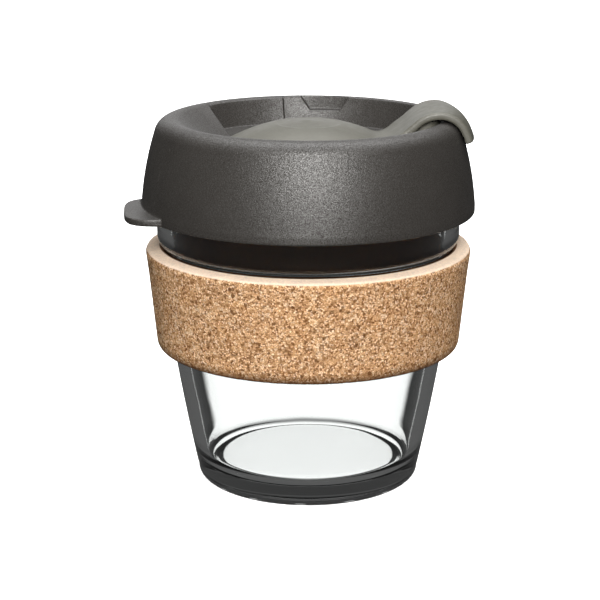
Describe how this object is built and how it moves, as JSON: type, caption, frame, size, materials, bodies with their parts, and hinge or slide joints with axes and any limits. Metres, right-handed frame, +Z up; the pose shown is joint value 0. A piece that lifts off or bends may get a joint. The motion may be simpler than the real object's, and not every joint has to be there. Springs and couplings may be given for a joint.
{
  "type": "glass coffee cup with lid",
  "caption": "Rigid glass coffee cup with a cork grip band, a press-on plastic lid with a lift tab, and a soft swivelling plug that closes the sip opening.",
  "frame": {"origin": "centre of the glass's flat bottom", "axes": "+Z up along the axis of the cup, +X towards the tip of the closed plug's arm, -Y towards the viewer"},
  "size_m": [0.0983, 0.094, 0.1071],
  "materials": {
    "glass": "clear tempered soda-lime glass, polished",
    "cork": "agglomerated cork, fine sanded, tan grains with dark specks",
    "lid_plastic": "warm charcoal polyethylene with a fine moulded texture",
    "plug_rubber": "olive grey soft elastomer, satin"
  },
  "bodies": {
    "cup": {"glass_cup": "glass", "cork_band": "cork"},
    "lid": {"lid": "lid_plastic"},
    "disc": {"plug_disc": "plug_rubber"},
    "arm": {"plug_arm": "plug_rubber"}
  },
  "joints": [
    {"name": "lid_lift", "type": "slide", "parent": "cup", "child": "lid", "axis": [0, 0, 1], "range_m": [0, 0.03]},
    {"name": "plug_swivel", "type": "hinge", "parent": "lid", "child": "disc", "pos_m": [0, 0, 0.0985], "axis": [0, 0, 1], "range_deg": [0, 82]},
    {"name": "arm_lift", "type": "hinge", "parent": "disc", "child": "arm", "pos_m": [0.0182, 0, 0.0998], "axis": [0, -1, 0], "range_deg": [0, 35], "stiffness_Nm_per_rad": 0.03}
  ]
}
